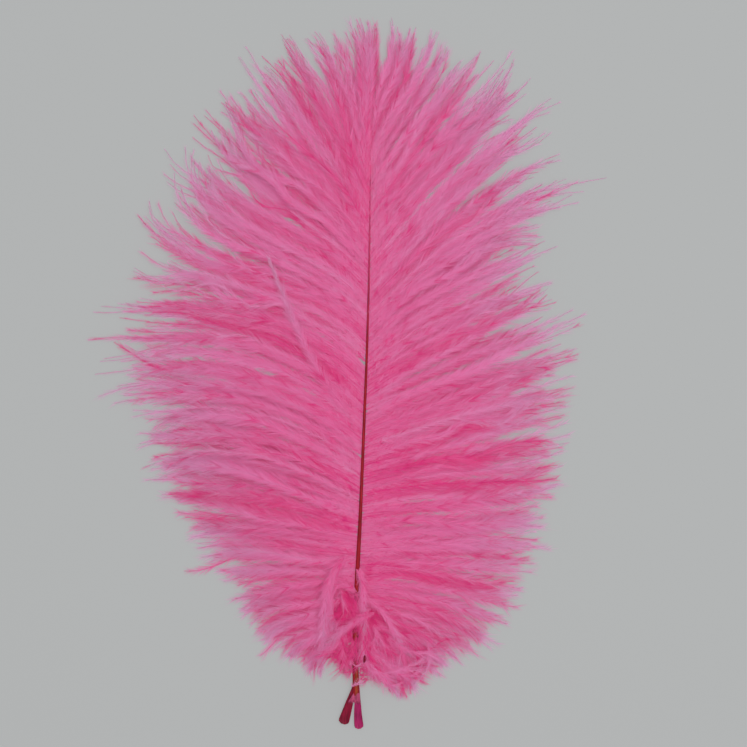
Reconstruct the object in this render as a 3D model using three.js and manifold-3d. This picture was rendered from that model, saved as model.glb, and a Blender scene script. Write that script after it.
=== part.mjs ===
// A dyed ostrich plume lying face up on a flat surface.
// It grew as one piece, so it is one solid: a tapering shaft whose quill end is split into two legs,
// with the locks of barbs fused to both sides of it and to its downy base.
// Millimetres, +Z up, +Y from the quill to the tip. The origin is on the surface, in the middle of the footprint.
import * as THREE from "three";
import Module from "manifold-3d";

// The shaft's middle line, from the fork of the quill to the rachis tip, and its radius at each end
const SHAFT_LINE = [
  [4.9, -114, 1.5],
  [5.0, -93, 5.2],
  [7.2, -44, 8.2],
  [9.8, 26, 7.2],
  [10.7, 90, 3],
];
const QUILL_RADIUS = 1.45;
const RACHIS_TIP_RADIUS = 0.35;
const SHAFT_STEPS = 14;
const SHAFT_SIDES = 8;

// The two legs of the split quill, from the fork to their rounded ends
const LEG_ENDS = [
  [0.9, -123.2, 1.1],
  [6.6, -125, 1.1],
];
const LEG_ROOT = [4.8, -110, 1.9];
const LEG_HALF_WIDTH = 1.65;
const LEG_HALF_HEIGHT = 1.1;
const LEG_ROOT_SHARE = 0.6;
const LEG_STEPS = 6;
const LEG_SIDES = 8;

// Guide barbs from the downy base to the tip. root: where the barb leaves the shaft, along Y. tip: where it ends.
// leave and arrive: its heading at each end, in degrees above straight out to its own side.
const LEFT_GUIDES = [
  { root: -91, tip: [-7.9, -106], leave: -50, arrive: -82 },
  { root: -84, tip: [-27, -95], leave: -14, arrive: -45 },
  { root: -74, tip: [-36, -83], leave: -5, arrive: -25 },
  { root: -66, tip: [-45, -66], leave: 3, arrive: -12 },
  { root: -58, tip: [-59, -47], leave: 12, arrive: 6 },
  { root: -45, tip: [-71, -27], leave: 28, arrive: -6 },
  { root: -27, tip: [-83, -6], leave: 38, arrive: -10 },
  { root: -8, tip: [-90.3, 20], leave: 45, arrive: -2 },
  { root: 2, tip: [-89, 36], leave: 46, arrive: 16 },
  { root: 14, tip: [-78, 59], leave: 48, arrive: 48 },
  { root: 26, tip: [-63, 75], leave: 49, arrive: 50 },
  { root: 38, tip: [-53, 94], leave: 51, arrive: 58 },
  { root: 51, tip: [-34, 110], leave: 56, arrive: 62 },
  { root: 64, tip: [-15, 120], leave: 64, arrive: 58 },
  { root: 78, tip: [4, 124], leave: 78, arrive: 66 },
];
const RIGHT_GUIDES = [
  { root: -98, tip: [19, -115], leave: -48, arrive: -72 },
  { root: -88, tip: [37, -104], leave: -22, arrive: -50 },
  { root: -79, tip: [52, -97], leave: -8, arrive: -48 },
  { root: -73, tip: [60.5, -83], leave: 0, arrive: -14 },
  { root: -65, tip: [68, -66], leave: 5, arrive: -3 },
  { root: -55, tip: [74.5, -49], leave: 8, arrive: 8 },
  { root: -43, tip: [78, -33], leave: 13, arrive: 15 },
  { root: -28, tip: [82, -4], leave: 21, arrive: 20 },
  { root: -16, tip: [83, 13], leave: 27, arrive: 22 },
  { root: 2, tip: [74, 37], leave: 40, arrive: 27 },
  { root: 20, tip: [90.3, 70], leave: 45, arrive: 17 },
  { root: 33, tip: [76.5, 92], leave: 49, arrive: 30 },
  { root: 48, tip: [61, 105], leave: 55, arrive: 52 },
  { root: 62, tip: [45, 115], leave: 60, arrive: 66 },
  { root: 77, tip: [29, 122], leave: 72, arrive: 88 },
  { root: 87, tip: [17.5, 125], leave: 84, arrive: 100 },
];

// Locks: clumps of barbs. Their tops crown beside the shaft and sink to the surface at the tips.
const LOCKS_PER_SIDE = 30;
const LOCK_STEPS = 6;
const LOCK_TIP_HALF_WIDTH = 0.35;
const LOCK_CROWN = 6;
// A lock starts this far across the shaft, so that the two sides grow into each other under it
const LOCK_ROOT_DEPTH = 1.5;
const LOCK_OUTER_SHARE = 0.62;
const LOCK_TIP_HEIGHT = 1.2;
// Every third lock reaches the outline, and the ones between stop short of it
const LOCK_REACHES = [1, 0.84, 0.92];
// A lock is this much wider than its place in the row, so that neighbours meet until they thin out
const LOCK_OVERLAP = 1.3;
const LOCK_TAPER_POWER = 2.6;
const HANDLE_SHARE = 0.38;
// Where along the barbs the row of locks is evenly spaced
const EVEN_AT = 0.6;
// A lock's section: shares of its half width and of its height, from one lower edge over the top to the other
const LOCK_SECTION = [
  [-1, 0],
  [-0.72, 0.74],
  [0, 1],
  [0.72, 0.74],
  [1, 0],
];
// How far the lower edges reach under the surface before the underside is cut off flat
const UNDERCUT = 1.5;
// The shallow hollow under the vane, where the barbs arch from the shaft to the surface: its middle and half size
const HOLLOW_MIDDLE = [6, -8, 0];
const HOLLOW_HALF_SIZE = [56, 95, 6.6];
const HOLLOW_SEGMENTS = 16;
const HOLLOW_RINGS = 6;

// Downy locks that lie over the shaft just above the bare quill: where each starts and ends, and its height
const DOWN_LOCKS = [
  { from: [15, -72], to: [-12, -98] },
  { from: [-3, -70], to: [22, -95] },
  { from: [4, -66], to: [2, -94] },
  { from: [9, -67], to: [14, -104] },
];
const DOWN_HALF_WIDTH = 3.6;
const DOWN_HEIGHT = 13.6;

// Corners of a geometry that agree to this many decimals are one corner
const KEY_DECIMALS = 4;

const PLUME_PINK = new THREE.Color().setRGB(0.62, 0.13, 0.3);

const wasm = await Module();
wasm.setup();

const shaftCurve = new THREE.CatmullRomCurve3(SHAFT_LINE.map((p) => new THREE.Vector3(...p)));

// The point of the shaft's middle line at a given Y, found by halving, because Y always grows along it
function shaftAt(y) {
  let low = 0;
  let high = 1;
  for (let i = 0; i < 30; i++) {
    const middle = (low + high) / 2;
    if (shaftCurve.getPoint(middle).y < y) low = middle;
    else high = middle;
  }
  return shaftCurve.getPoint(low);
}

// A closed solid lofted through rings of points, with flat ends
function loft(rings) {
  const sides = rings[0].length;
  const positions = rings.flat().flatMap((p) => [p.x, p.y, p.z]);
  const triangles = [];
  for (let r = 0; r + 1 < rings.length; r++) {
    for (let s = 0; s < sides; s++) {
      const a = r * sides + s;
      const b = r * sides + ((s + 1) % sides);
      triangles.push(a, b + sides, b, a, a + sides, b + sides);
    }
  }
  const last = (rings.length - 1) * sides;
  for (let s = 1; s + 1 < sides; s++) {
    triangles.push(0, s, s + 1, last, last + s + 1, last + s);
  }
  return solidOf(positions, triangles);
}

function solidOf(positions, triangles) {
  const mesh = new wasm.Mesh({
    numProp: 3,
    vertProperties: new Float32Array(positions),
    triVerts: new Uint32Array(triangles),
  });
  return new wasm.Manifold(mesh);
}

// A ring of points round a curve, in the plane square to it: across is level, up is square to both
function ringAround(curve, t, section) {
  const centre = curve.getPoint(t);
  const along = curve.getTangent(t);
  const across = new THREE.Vector3(along.y, -along.x, 0).normalize();
  const up = new THREE.Vector3().crossVectors(across, along);
  return section.map(([a, b]) => centre.clone().addScaledVector(across, a).addScaledVector(up, b));
}

function ovalSection(halfWidth, halfHeight, sides) {
  return Array.from({ length: sides }, (_, i) => {
    const angle = (2 * Math.PI * (i + 0.5)) / sides;
    return [halfWidth * Math.cos(angle), halfHeight * Math.sin(angle)];
  });
}

function shaft() {
  const rings = [];
  for (let i = 0; i <= SHAFT_STEPS; i++) {
    const t = i / SHAFT_STEPS;
    const radius = THREE.MathUtils.lerp(QUILL_RADIUS, RACHIS_TIP_RADIUS, Math.pow(t, 0.7));
    rings.push(ringAround(shaftCurve, t, ovalSection(radius, radius, SHAFT_SIDES)));
  }
  return loft(rings);
}

// One half of the split quill: it widens towards a rounded end
function quillLeg(end) {
  const curve = new THREE.LineCurve3(new THREE.Vector3(...LEG_ROOT), new THREE.Vector3(...end));
  const rings = [];
  for (let i = 0; i <= LEG_STEPS; i++) {
    const t = i / LEG_STEPS;
    const rounding = i === LEG_STEPS ? 0.72 : 1;
    const share = THREE.MathUtils.lerp(LEG_ROOT_SHARE, 1, t) * rounding;
    rings.push(ringAround(curve, t, ovalSection(LEG_HALF_WIDTH * share, LEG_HALF_HEIGHT * share, LEG_SIDES)));
  }
  return loft(rings);
}

// A guide barb between two rows of the list, at place 0 (base) to 1 (tip)
function guideAt(guides, place) {
  const at = place * (guides.length - 1);
  const i = Math.min(Math.floor(at), guides.length - 2);
  const [a, b, share] = [guides[i], guides[i + 1], at - i];
  const mix = (p, q) => THREE.MathUtils.lerp(p, q, share);
  return {
    root: mix(a.root, b.root),
    tip: [mix(a.tip[0], b.tip[0]), mix(a.tip[1], b.tip[1])],
    leave: mix(a.leave, b.leave),
    arrive: mix(a.arrive, b.arrive),
  };
}

// The line that the top of a lock follows: out of the shaft, over a low crown and down to the tip
function lockCurve(guide, side, reach) {
  const root = shaftAt(guide.root);
  const tip = new THREE.Vector3(guide.tip[0], guide.tip[1], LOCK_TIP_HEIGHT);
  tip.lerp(new THREE.Vector3(root.x, root.y, LOCK_TIP_HEIGHT), 1 - reach);
  const handle = HANDLE_SHARE * Math.hypot(tip.x - root.x, tip.y - root.y);
  const heading = (degrees) => {
    const angle = THREE.MathUtils.degToRad(degrees);
    return new THREE.Vector3(side * Math.cos(angle), Math.sin(angle), 0);
  };
  const start = root.clone().addScaledVector(heading(guide.leave), -LOCK_ROOT_DEPTH);
  const first = root.clone().addScaledVector(heading(guide.leave), handle);
  const second = tip.clone().addScaledVector(heading(guide.arrive), -handle);
  first.z = root.z + LOCK_CROWN;
  second.z = root.z * LOCK_OUTER_SHARE;
  return new THREE.CubicBezierCurve3(start, first, second, tip);
}

// Places in a list of guides, from 0 to 1, that are evenly spaced part of the way along the barbs
function evenPlaces(guides, side, count) {
  const middles = guides.map((guide) => lockCurve(guide, side, 1).getPoint(EVEN_AT));
  const row = new THREE.CurvePath();
  middles.slice(1).forEach((point, i) => row.add(new THREE.LineCurve3(middles[i], point)));
  const lengths = [0, ...row.getCurveLengths()];
  return Array.from({ length: count }, (_, i) => {
    const wanted = (i / (count - 1)) * row.getLength();
    const after = Math.max(1, lengths.findIndex((length) => length >= wanted - 1e-6));
    const share = (wanted - lengths[after - 1]) / (lengths[after] - lengths[after - 1]);
    return (after - 1 + share) / (guides.length - 1);
  });
}

// A lock thins towards its tip
function taper(t, fullHalfWidth) {
  return LOCK_TIP_HALF_WIDTH + fullHalfWidth * (1 - Math.pow(t, LOCK_TAPER_POWER));
}

// A lock's section runs from its lower edges, under the surface, up to the curve that its top follows
function lock(curve, halfWidthAt) {
  const rings = [];
  for (let i = 0; i <= LOCK_STEPS; i++) {
    const t = i / LOCK_STEPS;
    const top = curve.getPoint(t);
    const along = curve.getTangent(t);
    const across = new THREE.Vector3(along.y, -along.x, 0).normalize();
    const half = halfWidthAt(t);
    const ring = LOCK_SECTION.map(([a, b]) => {
      const point = top.clone().addScaledVector(across, -a * half);
      point.z = b === 0 ? -UNDERCUT : top.z * b;
      return point;
    });
    rings.push(ring);
  }
  return loft(rings);
}

// The locks of one side, each as wide as its share of the row
function sideLocks(guides, side) {
  const rows = evenPlaces(guides, side, LOCKS_PER_SIDE).map((place) => guideAt(guides, place));
  const full = rows.map((guide) => lockCurve(guide, side, 1));
  return rows.map((guide, i) => {
    const [before, after] = [full[Math.max(i - 1, 0)], full[Math.min(i + 1, full.length - 1)]];
    const neighbours = before === full[i] || after === full[i] ? 1 : 2;
    const spacing = (t) => before.getPoint(t).distanceTo(after.getPoint(t)) / neighbours;
    const curve = lockCurve(guide, side, LOCK_REACHES[i % LOCK_REACHES.length]);
    return lock(curve, (t) => taper(t, (LOCK_OVERLAP / 2) * spacing(t)));
  });
}

function downLocks() {
  return DOWN_LOCKS.map(({ from, to }) => {
    const start = new THREE.Vector3(...from, DOWN_HEIGHT * LOCK_OUTER_SHARE);
    const end = new THREE.Vector3(...to, LOCK_TIP_HEIGHT);
    const crest = start.clone().lerp(end, HANDLE_SHARE).setZ(DOWN_HEIGHT * 1.2);
    const fall = start.clone().lerp(end, 1 - HANDLE_SHARE).setZ(DOWN_HEIGHT);
    return lock(new THREE.CubicBezierCurve3(start, crest, fall, end), (t) => taper(t, DOWN_HALF_WIDTH));
  });
}

// Everything under the surface is cut away, so that the underside is flat
function cutAtSurface(solid) {
  const box = new THREE.Box3(new THREE.Vector3(-200, -200, -50), new THREE.Vector3(200, 200, 0));
  const size = box.getSize(new THREE.Vector3());
  const centre = box.getCenter(new THREE.Vector3());
  const block = new THREE.BoxGeometry(size.x, size.y, size.z).translate(centre.x, centre.y, centre.z);
  return solid.subtract(manifoldOf(block));
}

function underHollow() {
  const dome = new THREE.SphereGeometry(1, HOLLOW_SEGMENTS, HOLLOW_RINGS).rotateX(Math.PI / 2);
  return manifoldOf(dome.scale(...HOLLOW_HALF_SIZE).translate(...HOLLOW_MIDDLE));
}

// The largest closed surface, which leaves out the small pockets that neighbouring locks seal between them
function outerShell(solid) {
  return solid.decompose().reduce((largest, shell) => (shell.volume() > largest.volume() ? shell : largest));
}

// A three.js geometry with its shared corners joined and its collapsed faces left out, as a solid
function manifoldOf(geometry) {
  const places = geometry.getAttribute("position");
  const corners = new Map();
  const positions = [];
  const triangles = Array.from(geometry.index.array, (i) => {
    const point = [places.getX(i), places.getY(i), places.getZ(i)];
    const key = point.map((value) => value.toFixed(KEY_DECIMALS)).join();
    if (!corners.has(key)) {
      corners.set(key, corners.size);
      positions.push(...point);
    }
    return corners.get(key);
  });
  const faces = Array.from({ length: triangles.length / 3 }, (_, i) => triangles.slice(3 * i, 3 * i + 3));
  return solidOf(positions, faces.filter((face) => new Set(face).size === 3).flat());
}

function geometryOf(solid) {
  const { vertProperties, triVerts } = solid.getMesh();
  const geometry = new THREE.BufferGeometry();
  geometry.setAttribute("position", new THREE.BufferAttribute(vertProperties, 3));
  geometry.setIndex(new THREE.BufferAttribute(triVerts, 1));
  geometry.computeVertexNormals();
  return geometry;
}

const pieces = [
  shaft(),
  ...LEG_ENDS.map(quillLeg),
  ...sideLocks(LEFT_GUIDES, -1),
  ...sideLocks(RIGHT_GUIDES, 1),
  ...downLocks(),
];
const solid = outerShell(cutAtSurface(wasm.Manifold.union(pieces)).subtract(underHollow()));

const geometry = geometryOf(solid);
geometry.computeBoundingBox();
const middle = geometry.boundingBox.getCenter(new THREE.Vector3());
geometry.translate(-middle.x, -middle.y, 0);

const material = new THREE.MeshStandardMaterial({
  color: PLUME_PINK,
  roughness: 0.8,
  metalness: 0,
  flatShading: true,
});
const feather = new THREE.Mesh(geometry, material);
feather.name = "feather";

const plume = new THREE.Group();
plume.add(feather);
export default plume;
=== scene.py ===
import bpy
import numpy as np
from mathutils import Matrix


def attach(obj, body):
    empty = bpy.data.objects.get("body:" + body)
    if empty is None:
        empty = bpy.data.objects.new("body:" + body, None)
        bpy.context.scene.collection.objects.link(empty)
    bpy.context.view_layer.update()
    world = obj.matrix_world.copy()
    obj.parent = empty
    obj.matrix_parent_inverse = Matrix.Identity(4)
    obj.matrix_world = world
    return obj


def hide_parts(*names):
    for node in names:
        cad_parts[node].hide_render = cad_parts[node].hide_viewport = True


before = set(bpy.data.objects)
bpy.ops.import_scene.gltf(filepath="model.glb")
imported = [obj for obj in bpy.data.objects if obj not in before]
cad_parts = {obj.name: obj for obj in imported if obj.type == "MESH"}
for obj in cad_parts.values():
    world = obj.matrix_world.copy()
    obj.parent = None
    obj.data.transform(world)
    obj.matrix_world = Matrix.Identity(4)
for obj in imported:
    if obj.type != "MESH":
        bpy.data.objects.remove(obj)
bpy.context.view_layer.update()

MM = 0.001
SEED = 7
rng = np.random.default_rng(SEED)

# Where the frame's origin lies in the coordinates of the guides below
FRAME_MIDDLE = np.array([0.944, -1.568, 0])

# The shaft's middle line from the fork of the quill to the rachis tip, and its radius along Y
SHAFT_LINE = np.array([
    [5.4, -113.4, 1.6],
    [5.2, -93, 5.2],
    [7.2, -44, 8.2],
    [9.8, 26, 7.2],
    [10.7, 90, 3.0],
])
SHAFT_RADIUS_AT = [-113.4, -92, -80, -44, 26, 61, 72, 90]
SHAFT_RADIUS = [1.14, 1.1, 0.86, 0.58, 0.39, 0.28, 0.18, 0.08]
SHAFT_SIDES = 16
SHAFT_STEPS = 130
# The groove along the bare quill: the angle of its middle up from the right, its half angle, its depth as a
# share of the radius, and where it runs out along Y
GROOVE_ANGLE = 74
GROOVE_HALF_ANGLE = 40
GROOVE_DEPTH = 0.2
GROOVE_FADES = (-84, -72)

# The two halves of the split quill: the Bezier points of their middle lines, from the quill's sides to their
# rounded ends, their half widths at the start, half way and at the end, and their tone. The right half's
# lighter tone is painted light: the two halves are one material, lit and shaded.
LEGS = [
    {
        "points": [[4.7, -109.4, 2.2], [3.9, -113.2, 1.9], [2.6, -117.6, 1.4], [0.8, -123.3, 1.1]],
        "half_width": [0.35, 1.3, 2.0],
        "tone": -1.0,
    },
    {
        "points": [[6.2, -109.0, 2.2], [6.0, -114.0, 1.9], [5.8, -119.5, 1.4], [6.6, -125.0, 1.1]],
        "half_width": [0.35, 1.2, 1.7],
        # Lighter than the left half: painted light.
        "tone": -0.4,
    },
]
LEG_HEIGHT_SHARE = 0.62
LEG_HOLLOW_SHARE = 0.75
LEG_RIM_SHARE = 0.9
# From this share of its length on, a leg rounds off to its end
LEG_ROUNDS_FROM = 0.88
LEG_STEPS = 26
LEG_ARC_STEPS = 9
# The pale pith that the split lays bare: fused fibres from one line across the fork to another
PITH_FIBRES = 13
PITH_STARTS = [[4.6, -112.4, 2.4], [6.5, -112.2, 2.4]]
PITH_ENDS = [[2.6, -115.8, 1.9], [6.7, -116.1, 1.9]]
PITH_RADIUS = 0.24
PITH_ARCH = 0.3
PITH_RAGGED = 0.2
PITH_TONE = 2.0
PITH_STEPS = 7
PITH_SIDES = 6
# A dark flake in the down, painted shade: it stands for the shadow seen through a gap in the down. The
# Bezier points of its line and its radius
SHADOW_FLAKE = [[8.3, -97.6, 5.4], [8.9, -98.8, 8.2], [8.4, -100.6, 8.2], [8.1, -102.0, 5.0]]
SHADOW_FLAKE_RADIUS = 0.5
SHADOW_FLAKE_TONE = -1.0
SHADOW_FLAKE_STEPS = 10
SHADOW_FLAKE_SIDES = 8

# Guide barbs from the downy base to the tip: where the barb leaves the shaft (Y), where it ends (X, Y),
# and its heading at each end, in degrees above straight out to its own side
LEFT_GUIDES = np.array([
    [-91, -7.9, -106, -50, -82],
    [-84, -27, -95, -14, -45],
    [-74, -36, -83, -5, -25],
    [-66, -45, -66, 3, -12],
    [-58, -59, -47, 12, 6],
    [-45, -71, -27, 28, -6],
    [-27, -83, -6, 38, -10],
    [-8, -90.3, 20, 45, -2],
    [2, -89, 36, 46, 16],
    [14, -78, 59, 48, 60],
    [26, -63, 75, 49, 58],
    [38, -53, 94, 51, 54],
    [51, -34, 110, 56, 40],
    [64, -15, 120, 64, 46],
    [78, 4, 124, 78, 66],
    [88, 12, 125, 89, 84],
])
RIGHT_GUIDES = np.array([
    [-98, 19, -115, -48, -72],
    [-88, 37, -104, -22, -50],
    [-79, 52, -97, -8, -48],
    [-73, 60.5, -83, 0, -14],
    [-65, 68, -66, 5, -3],
    [-55, 74.5, -49, 8, 8],
    [-43, 78, -33, 13, 15],
    [-28, 82, -4, 21, 20],
    [-16, 83, 13, 27, 22],
    [2, 73, 37, 40, 27],
    [14, 72, 53, 43, 22],
    [20, 90.3, 70, 45, 17],
    [25, 70, 77, 47, 22],
    [33, 76.5, 92, 49, 30],
    [48, 65, 106, 55, 50],
    [62, 47, 116, 60, 66],
    [77, 29, 122, 72, 88],
    [88, 17.5, 125, 86, 100],
])
# Barbs leave the shaft at this share of its radius
ROOT_SHARE = 0.7
HANDLE_SHARE = 0.38
CROWN = 2.4
OUTER_SHARE = 0.62
TIP_HEIGHT = 1.2
LOWEST_BARB = 0.6
# Barbs shorter than this sway less
FULL_SWAY_LENGTH = 85
# The share of the way along the barbs where they are evenly spaced, and the steps for finding it
EVEN_AT = 0.45
EVEN_STEPS = 400

# The layers of each vane, from the floor up. drop: how far a layer lies under the top one. reach: the share
# of the guides' length, where the barbs end as wisps and where they end evenly. spacing: from barbule to
# barbule. tone: the two lower layers are deeper pink than the top one, painted shade under the layers above.
# gather: how much of the pull of locks and tufts it feels. fluff: what it adds to the barbs' own.
LAYERS = [
    {
        "count": 176,
        "drop": 2.0,
        "reach": (0.84, 0.94),
        "spacing": 0.29,
        "tone": -0.7,
        "gather": 0.1,
        "fluff": 0.6,
    },
    {
        "count": 190,
        "drop": 1.2,
        "reach": (0.89, 0.96),
        "spacing": 0.23,
        "tone": -0.75,
        "gather": 0.9,
        "fluff": 0.1,
    },
    {
        "count": 250,
        "drop": 0.0,
        "reach": (1.0, 1.0),
        "spacing": 0.19,
        "tone": 0.2,
        "gather": 1.0,
        "fluff": 0.0,
    },
]
LOCK_REACH = (0.97, 1.05)
# Up to this share of their length, tufts that end as wisps fall short of the outline
TUFT_SHORTFALL = 0.08
# Most barbs of a wispy tuft end early and a few go on as thin wisps. Others all end near the outline.
WISPY_REACH = (0.8, 1.03)
WISPY_REACH_POWER = 1.2
EVEN_REACH = (0.86, 1.02)
# How evenly the barbs of the left and the right vane end, by where they leave the shaft
EVENNESS_AT = [-50, -20, 30, 60]
EVENNESS = {-1: [1.0, 0.2, 0.2, 0.9], 1: [1.0, 0.5, 0.4, 0.9]}
# Locks: how many barbs they have, how strongly they pull them together, what is added to that near the
# feather's tip, how far their own tips turn, how high they lift, and how much their tone varies
LOCK_SIZE = (6, 14)
LOCK_PULL = (0.05, 0.4)
LOCK_PULL_AT_TOP = 0.2
TOP_STARTS = 40
LOCK_TURN = 8
LOCK_LIFT = (-0.6, 1.4)
LOCK_TONE = 0.12
# Tufts: the same, and how they curl and wave
TUFT_SIZE = (3, 7)
TUFT_PULL = (0.72, 0.98)
TUFT_TURN = 4
TUFT_LIFT = 0.6
TUFT_CURL = 2.8
TUFT_WAVE = 0.9
TUFT_PACE = (8, 20)
TUFT_TONE = 0.21
# A few tufts stray across their neighbours. The root of a tuft turns by a share of what its tip does.
STRAY_SHARE = 0.12
STRAY_TURN = 16
STRAY_LIFT = 1.2
ROOT_TURN_SHARE = 0.4
# Single barbs: how far they are off their even places, and the rest as for tufts
BARB_PLACE = 0.02
BARB_ROOT_TURN = 1.5
BARB_TURN = 8
BARB_FLUFF = 0.2
BARB_LIFT = 0.3
BARB_CURL = 1.8
BARB_WAVE = 0.25
BARB_PACE = (9, 30)
BARB_TONE = 0.36
# Where along the barb the pull of its tuft and its lock sets in, where it lets go, and by how much
TUFT_SETS_IN = (0.03, 0.28)
LOCK_SETS_IN = (0.15, 0.75)
LETS_GO = (0.75, 1)
TUFT_LETS_GO = 0.3
LOCK_LETS_GO = 0.5
WAVE_SETS_IN = (0.1, 0.6)
LIFT_POWER = 0.8
# How far the tips of the left and the right vane curl to the right of their way, by where they leave the
# shaft
CURL_AT = [-60, -30, -5, 8, 22, 42, 60]
CURL = {-1: [0, -1, 1, 6, 8, 4, 1], 1: [0, 0, 0, 0, 0, 0, 0]}
CURL_SPREAD = 2.5

# What is added to the tone of the barbs of the left and the right vane, by where they leave the shaft
ROOT_TONE_AT = [-60, -35, 5, 20]
ROOT_TONE = {-1: [-0.2, 0, 0, 0], 1: [-0.25, 0, 0, 0.3]}

# Barbules by the way along the barb: their length on a wispy and on a fluffy barb, their angle to the barb,
# and the share of them that is there. They cling together in small clumps.
BARBULE_AT = [0, 0.05, 0.2, 0.45, 0.65, 0.82, 1]
WISPY_LENGTH = [0.8, 1.9, 3.9, 4.8, 4.6, 3.2, 0.5]
FLUFFY_LENGTH = [0.8, 1.9, 4.2, 6.0, 6.6, 5.8, 3.4]
WISPY_SHARE = [1, 1, 1, 1, 0.9, 0.7, 0.4]
FLUFFY_SHARE = [1, 1, 1, 1, 0.9, 0.8, 0.65]
BARBULE_ANGLE_AT = [0, 0.2, 1]
BARBULE_ANGLE = [48, 23, 16]
BARBULE_TURN = 4
BARBULE_DROOP = -4
BARBULE_TILT = 9
CLUMP_TILT = 14
BARBULE_LENGTH_SPREAD = 0.25
BARBULES_IN_CLUMP = 8
CLUMP_PULL = 0.32
CLUMP_TURN = 4
FLOOR_GAP = 0.15
# How fluffy the barbs are, by where they leave the shaft
FLUFF_AT = [-90, -45, -10, 60]
FLUFF = [1.0, 0.9, 0.3, 0.1]
RAMUS_RADIUS = (0.17, 0.07)
RAMUS_TONE = -0.5
RAMUS_STEPS = 18
RAMUS_SIDES = 3

VANE_PARTS = ["lower", "middle", "upper"]

# The downy base: groups of curly barbs. Each has its count, the line (X, Y) that the barbs start from, the
# line that the longest of them reach, the shares of that way that they go, how high they rise, how far they
# bend to either side, and their tone with its spread.
DOWN_GROUPS = [
    {
        "count": 74,
        "roots": [[6, -79], [6.6, -105]],
        "tips": [[44, -90], [39, -98], [36, -104], [31, -112], [22, -115], [15, -110], [8, -109]],
        "reach": (0.4, 1.0),
        "rise": (0.0, 3.5),
        "bend": 0.25,
        "tone": (-2.1, 1.0),
    },
    {
        "count": 44,
        "roots": [[3.4, -73], [4, -104]],
        "tips": [[-15, -93], [-8, -99], [-1, -104], [1, -106], [3, -109]],
        "reach": (0.4, 1.0),
        "rise": (0.0, 3.0),
        "bend": 0.25,
        "tone": (-2.1, 1.0),
    },
    {
        "count": 34,
        "roots": [[-1, -74], [9, -82]],
        "tips": [[-9, -83], [-4, -92], [2, -91], [8, -92], [14, -91], [13, -80]],
        "reach": (0.6, 1.1),
        "rise": (2.5, 5.0),
        "bend": 0.25,
        "tone": (-1.6, 1.2),
    },
    {
        "count": 44,
        "roots": [[10, -80], [14, -100]],
        "tips": [[41, -92], [37, -103], [30, -112], [22, -115], [14, -109], [8, -100]],
        "reach": (0.35, 1.0),
        "rise": (2.0, 4.5),
        "bend": 0.5,
        "tone": (-0.1, 0.6),
    },
]
DOWN_SPACING = 0.17
DOWN_WAVE = 0.9
DOWN_PACE = (6, 16)
DOWN_FLUFF = 0.45
DOWN_BEND_BACK = (-0.6, 1.2)

# Barbs that lie across the others, alone or in bundles: how many, how wide the bundle is, its tone, its fluff
# and its Bezier points
STRAYS = [
    {"count": 6, "width": 2.4, "tone": 0.1, "fluff": 0.7,
     "points": [[4.0, -64, 9.5], [-6.5, -66.5, 11.5], [-4.6, -85, 12.5], [-7.6, -106, 1.5]]},
    {"count": 4, "width": 1.8, "tone": -0.3, "fluff": 0.8,
     "points": [[5.5, -77, 8], [-2.5, -68.5, 10.5], [-6.5, -80, 10.5], [-0.6, -91, 7]]},
    {"count": 3, "width": 1.6, "tone": -0.5, "fluff": 0.8,
     "points": [[11, -83, 9.5], [6, -86.5, 11], [1, -88, 11], [-5, -95, 7]]},
    {"count": 3, "width": 1.4, "tone": 0.1, "fluff": 0.8,
     "points": [[8.0, -78, 8], [16, -82, 10.5], [18, -90, 10.5], [25, -99, 5]]},
    {"count": 3, "width": 1.8, "tone": -0.1, "fluff": 0.9,
     "points": [[6.5, -68, 9], [8.6, -74, 10], [7.5, -82, 10.5], [8.5, -92, 8]]},
    {"count": 3, "width": 1.5, "tone": 0.0, "fluff": 0.5,
     "points": [[3.0, -14, 9.5], [-7, -1, 10.5], [-15, 14, 10.5], [-25, 40, 9.5]]},
    {"count": 1, "width": 0, "tone": -0.4, "fluff": 0,
     "points": [[-36, -64, 3], [-43, -67, 2], [-48, -70, 1], [-55, -69.5, 0.7]]},
    {"count": 1, "width": 0, "tone": -0.4, "fluff": 0,
     "points": [[-21, -92, 2], [-24, -95, 1.4], [-26, -98, 1], [-28.5, -99.5, 0.7]]},
    {"count": 1, "width": 0, "tone": 1.5, "fluff": 0,
     "points": [[4.0, -110, 3], [4.8, -108.6, 4.4], [5.9, -109.2, 4.4], [7.4, -107.6, 3]]},
    {"count": 1, "width": 0, "tone": 1.2, "fluff": 0,
     "points": [[3.2, -99.5, 5], [4.4, -103.5, 7], [6.8, -102.8, 7], [8.6, -99, 5]]},
]

STRAY_SPREAD = np.array([0.3, 0.3, 0.18])
STRAY_TONE = 0.3

# The view: the middle of the picture on the surface and the width that it takes in
VIEW_MIDDLE = np.array([11.57, 0.0, 0.0])
VIEW_WIDTH = 261.9
VIEW_LEVEL = 4
CAMERA_HEIGHT = 900
SENSOR = 36


def smooth(low, high, value):
    share = np.clip((value - low) / (high - low), 0, 1)
    return share * share * (3 - 2 * share)


def shaft_at(y):
    """Points of the shaft's middle line, smooth through its listed points."""
    knots = SHAFT_LINE[:, 1]
    slopes = np.gradient(SHAFT_LINE, knots, axis=0)
    y = np.asarray(y, float)
    i = np.clip(np.searchsorted(knots, y) - 1, 0, len(knots) - 2)
    gap = (knots[i + 1] - knots[i])[..., None]
    s = (y[..., None] - knots[i][..., None]) / gap
    start, end = SHAFT_LINE[i], SHAFT_LINE[i + 1]
    return (
        start * (1 + 2 * s) * (1 - s) ** 2
        + end * s**2 * (3 - 2 * s)
        + gap * (slopes[i] * s * (1 - s) ** 2 - slopes[i + 1] * s**2 * (1 - s))
    )


def shaft_radius(y):
    return np.interp(y, SHAFT_RADIUS_AT, SHAFT_RADIUS)


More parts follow.
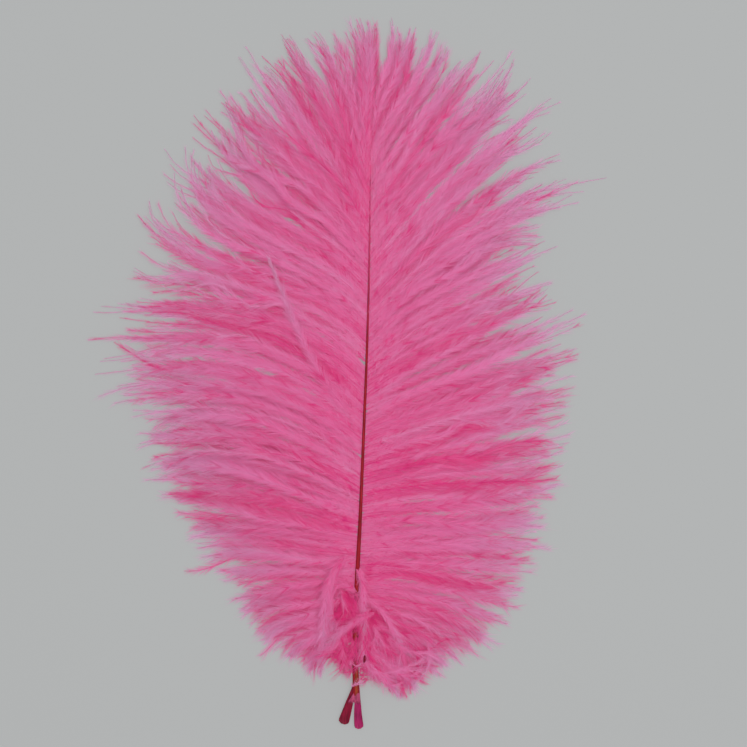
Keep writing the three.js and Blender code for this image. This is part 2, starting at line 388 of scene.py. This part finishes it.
def bezier(control, t):
    t = t[:, None]
    return (
        control[0] * (1 - t) ** 3
        + control[1] * 3 * t * (1 - t) ** 2
        + control[2] * 3 * t**2 * (1 - t)
        + control[3] * t**3
    )


def guide_at(guides, place):
    steps = np.arange(len(guides))
    return np.array([np.interp(place, steps, column) for column in guides.T])


def heading(degrees, side):
    angle = np.radians(degrees)
    return np.array([side * np.cos(angle), np.sin(angle), 0.0])


def control_points(guide, side, drop=0.0):
    """A barb's Bezier points: out of the shaft's side, over a low crown and down to the tip."""
    root_y, tip_x, tip_y, leave, arrive = guide
    root = shaft_at(root_y) + np.array([side * ROOT_SHARE * shaft_radius(root_y), 0.0, 0.0])
    tip = np.array([tip_x, tip_y, TIP_HEIGHT])
    handle = HANDLE_SHARE * np.hypot(*(tip - root)[:2])
    first = root + heading(leave, side) * handle
    second = tip - heading(arrive, side) * handle
    first[2] = root[2] + CROWN - drop
    second[2] = root[2] * OUTER_SHARE - drop
    return np.array([root, first, second, tip])


def even_places(guides, side, count):
    """Places in a list of guides that are evenly spaced part of the way along the barbs."""
    fine = np.linspace(0, len(guides) - 1, EVEN_STEPS)
    spot = np.array([EVEN_AT])
    middles = np.array([bezier(control_points(guide_at(guides, p), side), spot)[0] for p in fine])
    run = np.concatenate([[0], np.cumsum(np.linalg.norm(np.diff(middles, axis=0), axis=1))])
    return np.interp(np.linspace(0, run[-1], count), run, fine)


def group_slices(total, limits):
    """Cuts a row into groups of random size."""
    cuts = [0]
    while cuts[-1] < total:
        cuts.append(min(cuts[-1] + int(rng.integers(*limits)), total))
    return [slice(a, b) for a, b in zip(cuts, cuts[1:])]


def blend(pair, share):
    return pair[0] + (pair[1] - pair[0]) * share


def barb_reach(even):
    """The share of its tuft's length that a barb grows to."""
    chance = rng.random()
    wispy = blend(WISPY_REACH, chance**WISPY_REACH_POWER)
    return blend((wispy, blend(EVEN_REACH, chance)), even)


def vane_barbs(guides, side, layer):
    """One layer of one side's barbs, gathered in tufts and the tufts in locks."""
    places = even_places(guides, side, layer["count"])
    places += rng.normal(0, BARB_PLACE, len(places))
    barbs = []
    for lock_slice in group_slices(len(places), LOCK_SIZE):
        lock_places = places[lock_slice]
        lock_guide = guide_at(guides, lock_places.mean())
        lock_guide[4] += rng.normal(0, LOCK_TURN)
        even = np.interp(lock_guide[0], EVENNESS_AT, EVENNESS[side])
        # The layer's tone: the lower layers' deeper pink is painted shade under the layers above.
        tone = layer["tone"] + np.interp(lock_guide[0], ROOT_TONE_AT, ROOT_TONE[side])
        top_pull = LOCK_PULL_AT_TOP * (lock_guide[0] > TOP_STARTS)
        curl = np.interp(lock_guide[0], CURL_AT, CURL[side])
        lock = {
            "lead": control_points(lock_guide, side, layer["drop"]),
            "pull": layer["gather"] * (rng.uniform(*LOCK_PULL) + top_pull),
            "reach": blend(layer["reach"], even) * rng.uniform(*LOCK_REACH),
            "lift": rng.uniform(*LOCK_LIFT),
            "curl": curl + rng.normal(0, CURL_SPREAD),
            "tone": tone + rng.normal(0, LOCK_TONE),
        }
        for tuft_slice in group_slices(len(lock_places), TUFT_SIZE):
            tuft_places = lock_places[tuft_slice]
            tuft_guide = guide_at(guides, tuft_places.mean())
            strays = rng.random() < STRAY_SHARE
            turn = rng.normal(0, STRAY_TURN if strays else TUFT_TURN)
            tuft_guide[3] += ROOT_TURN_SHARE * turn
            tuft_guide[4] += turn
            tuft = {
                "lead": control_points(tuft_guide, side, layer["drop"]),
                "pull": layer["gather"] * rng.uniform(*TUFT_PULL),
                "reach": 1 - (1 - even) * rng.uniform(0, TUFT_SHORTFALL),
                "lift": rng.normal(0, TUFT_LIFT) + (STRAY_LIFT if strays else 0),
                "curl": rng.normal(0, TUFT_CURL),
                "wave": rng.normal(0, TUFT_WAVE),
                "pace": rng.uniform(*TUFT_PACE),
                "phase": rng.uniform(0, 2 * np.pi),
                "tone": rng.normal(0, TUFT_TONE),
            }
            for place in tuft_places:
                guide = guide_at(guides, place)
                guide[3] += rng.normal(0, BARB_ROOT_TURN)
                guide[4] += rng.normal(0, BARB_TURN)
                fluff = np.interp(guide[0], FLUFF_AT, FLUFF) + rng.normal(0, BARB_FLUFF)
                barbs.append({
                    "own": control_points(guide, side, layer["drop"]),
                    "tuft": tuft,
                    "lock": lock,
                    "reach": lock["reach"] * tuft["reach"] * barb_reach(even),
                    "lift": rng.normal(0, BARB_LIFT),
                    "curl": lock["curl"] + tuft["curl"] + rng.normal(0, BARB_CURL),
                    "wave": rng.normal(0, BARB_WAVE),
                    "pace": rng.uniform(*BARB_PACE),
                    "phase": rng.uniform(0, 2 * np.pi),
                    "tone": lock["tone"] + tuft["tone"] + rng.normal(0, BARB_TONE),
                    "fluff": layer["fluff"] + np.clip(fluff, 0, 1),
                    "spacing": layer["spacing"],
                    "place": place / (len(guides) - 1),
                })
    return barbs


def level_normals(line):
    """Level unit vectors to the right of a line."""
    along = np.gradient(line[:, :2], axis=0)
    right = np.stack([along[:, 1], -along[:, 0]], axis=1)
    return right / np.linalg.norm(right, axis=1)[:, None]


def vane_line(barb, s):
    """Points along a vane's barb, at shares s of its own length."""
    tuft, lock = barb["tuft"], barb["lock"]
    t = s * barb["reach"]
    by_tuft = tuft["pull"] * smooth(*TUFT_SETS_IN, t) * (1 - TUFT_LETS_GO * smooth(*LETS_GO, t))
    by_lock = lock["pull"] * smooth(*LOCK_SETS_IN, t) * (1 - LOCK_LETS_GO * smooth(*LETS_GO, t))
    line = bezier(barb["own"], t)
    line += by_tuft[:, None] * (bezier(tuft["lead"], t) - line)
    line += by_lock[:, None] * (bezier(lock["lead"], t) - line)
    sway = barb["curl"] * s**3
    sway = sway + barb["wave"] * np.sin(barb["pace"] * s + barb["phase"]) * s
    sway = sway + tuft["wave"] * np.sin(tuft["pace"] * s + tuft["phase"]) * smooth(*WAVE_SETS_IN, s)
    size = np.linalg.norm(barb["own"][3] - barb["own"][0]) / FULL_SWAY_LENGTH
    line[:, :2] += level_normals(line) * (sway * min(size, 1) ** 2)[:, None]
    lift = barb["lift"] + tuft["lift"] + lock["lift"]
    line[:, 2] += lift * np.sin(np.pi * np.clip(t, 0, 1)) ** LIFT_POWER
    line[:, 2] = np.maximum(line[:, 2], LOWEST_BARB)
    return line


def directions(line):
    """Unit vectors along a line, to its right and up."""
    along = np.gradient(line, axis=0)
    along /= np.linalg.norm(along, axis=1)[:, None]
    right = np.cross(along, [0.0, 0.0, 1.0])
    right /= np.linalg.norm(right, axis=1)[:, None]
    return along, right, np.cross(right, along)


def barbules(line, way, right_side, fluff):
    """One side's barbules: the steps of the barb's line that they grow from, and their free ends."""
    along, right, up = (v[:-1] for v in directions(line))
    middle = (line[:-1] + line[1:]) / 2
    count = len(way)
    fluff = np.clip(fluff, 0, 1)
    clump = np.cumsum(rng.random(count) < 1 / BARBULES_IN_CLUMP)
    turn = rng.normal(0, CLUMP_TURN, clump[-1] + 1)[clump]
    length = (1 - fluff) * np.interp(way, BARBULE_AT, WISPY_LENGTH)
    length += fluff * np.interp(way, BARBULE_AT, FLUFFY_LENGTH)
    length *= np.exp(rng.normal(0, BARBULE_LENGTH_SPREAD, clump[-1] + 1))[clump]
    angle = np.interp(way, BARBULE_ANGLE_AT, BARBULE_ANGLE) + turn
    angle = np.radians(angle + rng.normal(0, BARBULE_TURN, count))
    tilt = rng.normal(BARBULE_DROOP, CLUMP_TILT, clump[-1] + 1)[clump]
    tilt = np.radians(tilt + rng.normal(0, BARBULE_TILT, count))
    out = right_side * right * np.cos(tilt)[:, None] + up * np.sin(tilt)[:, None]
    tips = middle + length[:, None] * (along * np.cos(angle)[:, None] + out * np.sin(angle)[:, None])
    sizes = np.bincount(clump)
    centres = np.stack([np.bincount(clump, tips[:, k]) / sizes for k in range(3)], axis=1)
    tips += CLUMP_PULL * (centres[clump] - tips)
    tips[:, 2] = np.maximum(tips[:, 2], FLOOR_GAP)
    share = (1 - fluff) * np.interp(way, BARBULE_AT, WISPY_SHARE)
    share += fluff * np.interp(way, BARBULE_AT, FLUFFY_SHARE)
    there = np.flatnonzero(rng.random(count) < share)
    return there, tips[there]


def tube_faces(rings, sides, first=0):
    """Triangles between rings of points that follow each other from point number first."""
    start = first + sides * np.arange(rings - 1)[:, None]
    here = start + np.arange(sides)
    beside = start + (np.arange(sides) + 1) % sides
    return np.concatenate([
        np.stack([here, beside, beside + sides], axis=2).reshape(-1, 3),
        np.stack([here, beside + sides, here + sides], axis=2).reshape(-1, 3),
    ])


def tube_points(line, radii, sides, start_angle=0.0):
    """Rings of points round a line."""
    _, right, up = directions(line)
    turn = start_angle + 2 * np.pi * np.arange(sides) / sides
    spokes = right[:, None] * np.cos(turn)[:, None] + up[:, None] * np.sin(turn)[:, None]
    radii = np.broadcast_to(radii, (len(line), sides))
    return (line[:, None] + radii[..., None] * spokes).reshape(-1, 3)


def barb_mesh(line_of, tone, fluff, spacing):
    """One barb: a thin ramus and a comb of barbules on each side that share the corners of its middle line.
    Its map runs across the barb and along it, from 0 to 1 both ways."""
    rough = line_of(np.linspace(0, 1, RAMUS_STEPS + 1))
    length = np.linalg.norm(np.diff(rough, axis=0), axis=1).sum()
    steps = max(RAMUS_STEPS, int(length / spacing))
    s = np.linspace(0, 1, steps + 1)
    way = (s[:-1] + s[1:]) / 2
    line = line_of(s)
    left, left_tips = barbules(line, way, -1, fluff)
    right, right_tips = barbules(line, way, 1, fluff)
    left_number = steps + 1 + np.arange(len(left))
    right_number = left_number[-1] + 1 + np.arange(len(right))
    rings = np.linspace(0, steps, RAMUS_STEPS + 1).astype(int)
    radii = np.linspace(*RAMUS_RADIUS, RAMUS_STEPS + 1)[:, None]
    tube = tube_points(line[rings], radii, RAMUS_SIDES, np.pi / 2)
    faces = np.concatenate([
        np.stack([left, left + 1, left_number], axis=1),
        np.stack([right, right_number, right + 1], axis=1),
        tube_faces(RAMUS_STEPS + 1, RAMUS_SIDES, right_number[-1] + 1),
    ])
    ways = np.concatenate([s, way[left], way[right], np.repeat(s[rings], RAMUS_SIDES)])
    columns = np.concatenate([
        np.full(steps + 1, 0.5),
        np.full(len(left), 0.02),
        np.full(len(right), 0.98),
        np.tile(np.linspace(0.4, 0.6, RAMUS_SIDES), RAMUS_STEPS + 1),
    ])
    points = np.concatenate([line, left_tips, right_tips, tube])
    tones = np.full(len(points), tone)
    tones[-len(tube):] += RAMUS_TONE
    used, numbers = np.unique(faces, return_inverse=True)
    return {
        "points": points[used],
        "faces": numbers.reshape(-1, 3),
        "along": ways[used],
        "tone": tones[used],
        "map": np.stack([columns, ways], axis=1)[used],
    }


def join(parts):
    """Several meshes as one, each with its own column of the map."""
    starts = np.cumsum([0] + [len(p["points"]) for p in parts[:-1]])
    joined = {key: np.concatenate([p[key] for p in parts]) for key in ("points", "along", "tone")}
    joined["faces"] = np.concatenate([p["faces"] + start for p, start in zip(parts, starts)])
    width = 1 / len(parts)
    joined["map"] = np.concatenate([(p["map"] + [k, 0]) * [width, 1] for k, p in enumerate(parts)])
    return joined


def add_piece(name, shape, material):
    """Makes a piece of the feather from a joined mesh, in metres in the frame."""
    mesh = bpy.data.meshes.new(name)
    points = (shape["points"] - FRAME_MIDDLE) * MM
    faces = shape["faces"].astype(np.int32)
    mesh.vertices.add(len(points))
    mesh.vertices.foreach_set("co", points.astype(np.float32).ravel())
    mesh.loops.add(faces.size)
    mesh.loops.foreach_set("vertex_index", faces.ravel())
    mesh.polygons.add(len(faces))
    mesh.polygons.foreach_set("loop_start", np.arange(0, faces.size, 3, dtype=np.int32))
    mesh.update(calc_edges=True)
    for key in ("along", "tone"):
        values = mesh.attributes.new(key, "FLOAT", "POINT").data
        values.foreach_set("value", shape[key].astype(np.float32))
    corners = shape["map"][faces.ravel()].astype(np.float32)
    mesh.uv_layers.new(name="OFBake").data.foreach_set("uv", corners.ravel())
    mesh.materials.append(material)
    piece = bpy.data.objects.new(name, mesh)
    bpy.context.scene.collection.objects.link(piece)
    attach(piece, "root")
    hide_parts("feather")
    return piece


def build_vanes(material):
    for side, word, guides in ((-1, "left", LEFT_GUIDES), (1, "right", RIGHT_GUIDES)):
        barbs = [barb for layer in LAYERS for barb in vane_barbs(guides, side, layer)]
        for k, part in enumerate(VANE_PARTS):
            chosen = [b for b in barbs if int(np.clip(b["place"], 0, 0.999) * len(VANE_PARTS)) == k]
            meshes = [
                barb_mesh(lambda s, b=barb: vane_line(b, s), barb["tone"], barb["fluff"], barb["spacing"])
                for barb in chosen
            ]
            add_piece(f"vane_{word}_{part}", join(meshes), material)


def point_along(points, share):
    """A point at a share of the way along a list of points."""
    places = np.linspace(0, 1, len(points))
    return np.array([np.interp(share, places, column) for column in np.transpose(points)])


def down_control(group):
    """The Bezier points of a barb of the downy base."""
    root = point_along(group["roots"], rng.random())
    way = rng.uniform(*group["reach"]) * (point_along(group["tips"], rng.random()) - root)
    bend = np.array([-way[1], way[0]]) * rng.normal(0, group["bend"])
    height = shaft_at(root[1])[2]
    rise = rng.uniform(*group["rise"])
    tip_height = max(LOWEST_BARB, 0.4 * height + rng.uniform(-1, 1) * rise)
    return np.array([
        [*root, height],
        [*(root + 0.4 * way + bend), height + rise],
        [*(root + 0.75 * way + bend * rng.uniform(*DOWN_BEND_BACK)), 0.8 * height + rise],
        [*(root + way), tip_height],
    ])


def curly_line(control, wave, pace, phase, s):
    """Points along a Bezier line that waves from side to side."""
    line = bezier(control, s)
    line[:, :2] += level_normals(line) * (wave * np.sin(pace * s + phase) * s)[:, None]
    return line


def build_down(material):
    meshes = []
    for group in DOWN_GROUPS:
        for _ in range(group["count"]):
            shape = (
                down_control(group),
                rng.normal(0, DOWN_WAVE),
                rng.uniform(*DOWN_PACE),
                rng.uniform(0, 2 * np.pi),
            )
            tone = rng.normal(*group["tone"])
            mesh = barb_mesh(lambda s, c=shape: curly_line(*c, s), tone, DOWN_FLUFF, DOWN_SPACING)
            meshes.append(mesh)
    add_piece("downy_base", join(meshes), material)


def build_strays(material):
    meshes = []
    for stray in STRAYS:
        for _ in range(stray["count"]):
            shift = stray["width"] * STRAY_SPREAD * rng.normal(0, 1, (4, 3))
            control = np.array(stray["points"]) + shift
            tone = stray["tone"] + rng.normal(0, STRAY_TONE)
            mesh = barb_mesh(lambda s, c=control: bezier(c, s), tone, stray["fluff"], DOWN_SPACING)
            meshes.append(mesh)
    add_piece("stray_barbs", join(meshes), material)


def quill_mesh():
    """The shaft as a round tube with a groove along its bare end."""
    ys = np.linspace(SHAFT_LINE[0, 1], SHAFT_LINE[-1, 1], SHAFT_STEPS + 1)
    turn = 2 * np.pi * np.arange(SHAFT_SIDES) / SHAFT_SIDES
    from_groove = np.exp(1j * (turn - np.radians(GROOVE_ANGLE)))
    off_middle = np.degrees(np.abs(np.angle(from_groove)))
    groove = 1 - smooth(0, GROOVE_HALF_ANGLE, off_middle)
    groove = groove[None, :] * (1 - smooth(*GROOVE_FADES, ys))[:, None]
    radii = shaft_radius(ys)[:, None] * (1 - GROOVE_DEPTH * groove)
    ways = np.repeat(np.linspace(0, 1, len(ys)), SHAFT_SIDES)
    columns = np.tile(np.linspace(0, 1, SHAFT_SIDES), len(ys))
    return {
        "points": tube_points(shaft_at(ys), radii, SHAFT_SIDES),
        "faces": tube_faces(len(ys), SHAFT_SIDES),
        "along": ways,
        "tone": groove.ravel(),
        "map": np.stack([columns, ways], axis=1),
    }


def leg_mesh(leg):
    """One half of the split quill: a channel, hollow side up, that widens to a rounded end."""
    s = np.linspace(0, 1, LEG_STEPS + 1)
    line = bezier(np.array(leg["points"]), s)
    half = np.interp(s, [0, 0.5, 1], leg["half_width"])
    rounding = np.clip((s - LEG_ROUNDS_FROM) / (1 - LEG_ROUNDS_FROM), 0, 0.99)
    half *= (1 - rounding**3) ** (1 / 3)
    under = np.linspace(0, -np.pi, LEG_ARC_STEPS)
    over = under[::-1][1:-1]
    hollow_height = LEG_HEIGHT_SHARE * (1 - LEG_HOLLOW_SHARE)
    section = np.concatenate([
        np.stack([np.cos(under), LEG_HEIGHT_SHARE * np.sin(under)], axis=1),
        np.stack([LEG_RIM_SHARE * np.cos(over), hollow_height * np.sin(over)], axis=1),
    ])
    _, right, up = directions(line)
    points = line[:, None] + half[:, None, None] * (
        right[:, None] * section[:, :1] + up[:, None] * section[:, 1:]
    )
    return tube_shape(points.reshape(-1, 3), s, len(section), leg["tone"])


def tube_shape(points, ways, sides, tone):
    """Rings of points as a mesh of one tone, with a map round and along it."""
    columns = np.tile(np.linspace(0, 1, sides), len(ways))
    return {
        "points": points,
        "faces": tube_faces(len(ways), sides),
        "along": np.zeros(len(points)),
        "tone": np.full(len(points), tone),
        "map": np.stack([columns, np.repeat(ways, sides)], axis=1),
    }


def pith_meshes():
    """The fibres of pale pith where the quill splits."""
    meshes = []
    s = np.linspace(0, 1, PITH_STEPS)
    for share in np.linspace(0, 1, PITH_FIBRES):
        start = point_along(PITH_STARTS, share) + [0, rng.uniform(-PITH_RAGGED, PITH_RAGGED), 0]
        end = point_along(PITH_ENDS, share) + [0, rng.uniform(-PITH_RAGGED, PITH_RAGGED), 0]
        line = start + s[:, None] * (end - start)
        line[:, 2] += PITH_ARCH * np.sin(np.pi * s)
        radii = PITH_RADIUS * (1 - 0.8 * s**6)
        points = tube_points(line, radii[:, None], PITH_SIDES)
        meshes.append(tube_shape(points, s, PITH_SIDES, PITH_TONE))
    return meshes


def shadow_flake_mesh():
    """The dark flake of painted shadow, thin at both ends."""
    s = np.linspace(0, 1, SHADOW_FLAKE_STEPS)
    radii = SHADOW_FLAKE_RADIUS * (0.1 + 0.9 * np.sin(np.pi * s))
    points = tube_points(bezier(np.array(SHADOW_FLAKE), s), radii[:, None], SHADOW_FLAKE_SIDES)
    return tube_shape(points, s, SHADOW_FLAKE_SIDES, SHADOW_FLAKE_TONE)


def build_shaft(material):
    meshes = [quill_mesh(), *map(leg_mesh, LEGS), *pith_meshes(), shadow_flake_mesh()]
    piece = add_piece("shaft", join(meshes), material)
    piece.data.shade_smooth()


def ramp_node(nodes, stops):
    """A colour ramp with the given (position, colour) stops."""
    ramp = nodes.new("ShaderNodeValToRGB")
    elements = ramp.color_ramp.elements
    while len(elements) < len(stops):
        elements.new(1.0)
    for element, (position, colour) in zip(elements, stops):
        element.position = position
        element.color = (*colour, 1.0)
    return ramp


def attribute_node(nodes, name):
    node = nodes.new("ShaderNodeAttribute")
    node.attribute_name = name
    return node


def map_range(nodes, links, source, from_range, to_range):
    node = nodes.new("ShaderNodeMapRange")
    node.inputs["From Min"].default_value, node.inputs["From Max"].default_value = from_range
    node.inputs["To Min"].default_value, node.inputs["To Max"].default_value = to_range
    links.new(source, node.inputs["Value"])
    return node.outputs["Result"]


def mix_colour(nodes, links, kind, amount, first, second):
    node = nodes.new("ShaderNodeMix")
    node.data_type = "RGBA"
    node.blend_type = kind
    links.new(amount, node.inputs["Factor"])
    links.new(first, node.inputs["A"])
    if isinstance(second, tuple):
        node.inputs["B"].default_value = (*second, 1.0)
    else:
        links.new(second, node.inputs["B"])
    return node.outputs["Result"]


# The barbs' colour by the way along them, and the colours that it goes to at a low and at a high tone. The
# low, deep one is partly the barbs' own colour and partly painted shade: the lower layers and the dark
# patches.
PLUME_ALONG = [
    (0.0, (0.95, 0.26, 0.55)),
    (0.12, (0.96, 0.26, 0.57)),
    (0.55, (0.95, 0.33, 0.64)),
    (0.8, (0.9, 0.42, 0.69)),
    (1.0, (0.85, 0.47, 0.7)),
]
PLUME_DEEP_AND_SHADE = (0.91, 0.04, 0.31)
PLUME_PALE = (0.96, 0.52, 0.79)
PLUME_GLOW = 0.45
# Patches of colour: how quickly they change with the tone and along the barb, how far they move the tone to
# either side, the noise where the dark ones start, and how far the tone drops in them. The dark patches are
# painted shade: short deep-pink dashes that stand for the shadowed slits between barbs.
PATCH_SCALE = (41.0, 12.0, 0.0)
PATCH_DEPTH = 0.4
SLIT_SHADE_AT = (0.3, 0.42)
SLIT_SHADE_DEPTH = 1.7


def add_values(nodes, links, first, second):
    total = nodes.new("ShaderNodeMath")
    total.operation = "ADD"
    links.new(first, total.inputs[0])
    links.new(second, total.inputs[1])
    return total.outputs["Value"]


def patchy_tone(nodes, links):
    """The barb's tone, with patches along it that differ from barb to barb, the dark ones painted slit shade.
    """
    tone = attribute_node(nodes, "tone").outputs["Fac"]
    place = nodes.new("ShaderNodeCombineXYZ")
    links.new(tone, place.inputs["X"])
    links.new(attribute_node(nodes, "along").outputs["Fac"], place.inputs["Y"])
    spread = nodes.new("ShaderNodeVectorMath")
    spread.operation = "MULTIPLY"
    spread.inputs[1].default_value = PATCH_SCALE
    links.new(place.outputs["Vector"], spread.inputs[0])
    noise = nodes.new("ShaderNodeTexNoise")
    noise.inputs["Scale"].default_value = 1.0
    noise.inputs["Detail"].default_value = 2.0
    links.new(spread.outputs["Vector"], noise.inputs["Vector"])
    patch = map_range(nodes, links, noise.outputs["Fac"], (0.25, 0.75), (-PATCH_DEPTH, PATCH_DEPTH))
    # Dark patches: painted shade of the slits between barbs.
    slit_shade = map_range(nodes, links, noise.outputs["Fac"], SLIT_SHADE_AT, (-SLIT_SHADE_DEPTH, 0.0))
    return add_values(nodes, links, tone, add_values(nodes, links, patch, slit_shade))


def plume_material():
    material = bpy.data.materials.new("plume")
    material.use_nodes = True
    nodes, links = material.node_tree.nodes, material.node_tree.links
    shader = nodes["Principled BSDF"]
    shader.inputs["Roughness"].default_value = 0.65
    shader.inputs["Specular IOR Level"].default_value = 0.2
    ramp = ramp_node(nodes, PLUME_ALONG)
    links.new(attribute_node(nodes, "along").outputs["Fac"], ramp.inputs["Fac"])
    tone = patchy_tone(nodes, links)
    # Deep pink for low tones: partly the barbs' own colour, partly painted shade.
    deep_and_shade = map_range(nodes, links, tone, (-0.1, -2.0), (0.0, 0.9))
    pale = map_range(nodes, links, tone, (0.1, 2.2), (0.0, 0.75))
    colour = mix_colour(nodes, links, "MIX", deep_and_shade, ramp.outputs["Color"], PLUME_DEEP_AND_SHADE)
    colour = mix_colour(nodes, links, "MIX", pale, colour, PLUME_PALE)
    links.new(colour, shader.inputs["Base Color"])
    glow = nodes.new("ShaderNodeBsdfTranslucent")
    links.new(colour, glow.inputs["Color"])
    mix = nodes.new("ShaderNodeMixShader")
    mix.inputs["Fac"].default_value = PLUME_GLOW
    links.new(shader.outputs["BSDF"], mix.inputs[1])
    links.new(glow.outputs["BSDF"], mix.inputs[2])
    links.new(mix.outputs["Shader"], nodes["Material Output"].inputs["Surface"])
    return material


# The shaft's colour by its tone, from the left leg to the pith, and at the rachis tip. The right leg's stop
# at
# 0.2 is lighter than the left leg's at 0: painted light on one half of the same quill.
SHAFT_TONES = [
    (0.0, (0.17, 0.002, 0.02)),
    (0.2, (0.29, 0.009, 0.08)),
    (0.333, (0.25, 0.006, 0.014)),
    (0.667, (0.25, 0.052, 0.016)),
    (1.0, (0.36, 0.05, 0.12)),
]
RACHIS_TIP = (0.6, 0.06, 0.2)
STREAK_SCALE = (1.0, 0.06, 1.0)


def shaft_material():
    material = bpy.data.materials.new("shaft")
    material.use_nodes = True
    nodes, links = material.node_tree.nodes, material.node_tree.links
    shader = nodes["Principled BSDF"]
    shader.inputs["Specular IOR Level"].default_value = 0.12
    tone = attribute_node(nodes, "tone").outputs["Fac"]
    share = map_range(nodes, links, tone, (-1.0, 2.0), (0.0, 1.0))
    ramp = ramp_node(nodes, SHAFT_TONES)
    links.new(share, ramp.inputs["Fac"])
    along = attribute_node(nodes, "along").outputs["Fac"]
    near_tip = map_range(nodes, links, along, (0.6, 0.95), (0.0, 1.0))
    colour = mix_colour(nodes, links, "MIX", near_tip, ramp.outputs["Color"], RACHIS_TIP)
    stretch = nodes.new("ShaderNodeVectorMath")
    stretch.operation = "MULTIPLY"
    stretch.inputs[1].default_value = STREAK_SCALE
    links.new(nodes.new("ShaderNodeTexCoord").outputs["Object"], stretch.inputs[0])
    streaks = nodes.new("ShaderNodeTexNoise")
    streaks.inputs["Scale"].default_value = 2600
    streaks.inputs["Detail"].default_value = 3
    links.new(stretch.outputs["Vector"], streaks.inputs["Vector"])
    shade = map_range(nodes, links, streaks.outputs["Fac"], (0.3, 0.7), (0.6, 1.5))
    shaded = nodes.new("ShaderNodeVectorMath")
    shaded.operation = "SCALE"
    links.new(colour, shaded.inputs[0])
    links.new(shade, shaded.inputs["Scale"])
    links.new(shaded.outputs["Vector"], shader.inputs["Base Color"])
    roughness = map_range(nodes, links, streaks.outputs["Fac"], (0.3, 0.7), (0.55, 0.4))
    links.new(roughness, shader.inputs["Roughness"])
    return material


def build_floor():
    half_metres = 4.0
    mesh = bpy.data.meshes.new("floor")
    corners = [(x * half_metres, y * half_metres, 0) for x, y in ((-1, -1), (1, -1), (1, 1), (-1, 1))]
    mesh.from_pydata(corners, [], [(0, 1, 2, 3)])
    floor = bpy.data.objects.new("floor", mesh)
    bpy.context.scene.collection.objects.link(floor)
    material = bpy.data.materials.new("floor")
    material.use_nodes = True
    shader = material.node_tree.nodes["Principled BSDF"]
    shader.inputs["Base Color"].default_value = (0.15, 0.153, 0.152, 1)
    shader.inputs["Roughness"].default_value = 0.9
    shader.inputs["Emission Color"].default_value = (0.98, 1.0, 1.0, 1)
    shader.inputs["Emission Strength"].default_value = 0.28
    mesh.materials.append(material)


def build_light():
    world = bpy.data.worlds.new("studio")
    world.use_nodes = True
    background = world.node_tree.nodes["Background"]
    background.inputs["Color"].default_value = (0.97, 0.985, 1.0, 1)
    background.inputs["Strength"].default_value = 0.57
    bpy.context.scene.world = world
    light = bpy.data.lights.new("softbox", "AREA")
    light.shape = "DISK"
    light.size = 0.9
    light.energy = 7.95
    lamp = bpy.data.objects.new("softbox", light)
    lamp.location = (0.2, 0.05, 1.15)
    lamp.rotation_euler = (-0.043, 0.172, 0)
    bpy.context.scene.collection.objects.link(lamp)


def build_camera():
    scene = bpy.context.scene
    data = bpy.data.cameras.new("camera")
    data.sensor_width = SENSOR
    data.lens = SENSOR * CAMERA_HEIGHT / VIEW_WIDTH
    camera = bpy.data.objects.new("camera", data)
    camera.location = (VIEW_MIDDLE - FRAME_MIDDLE + [0, 0, CAMERA_HEIGHT + VIEW_LEVEL]) * MM
    scene.collection.objects.link(camera)
    scene.camera = camera
    scene.view_settings.view_transform = "Standard"


plume = plume_material()
build_vanes(plume)
build_down(plume)
build_strays(plume)
build_shaft(shaft_material())
build_floor()
build_light()
build_camera()
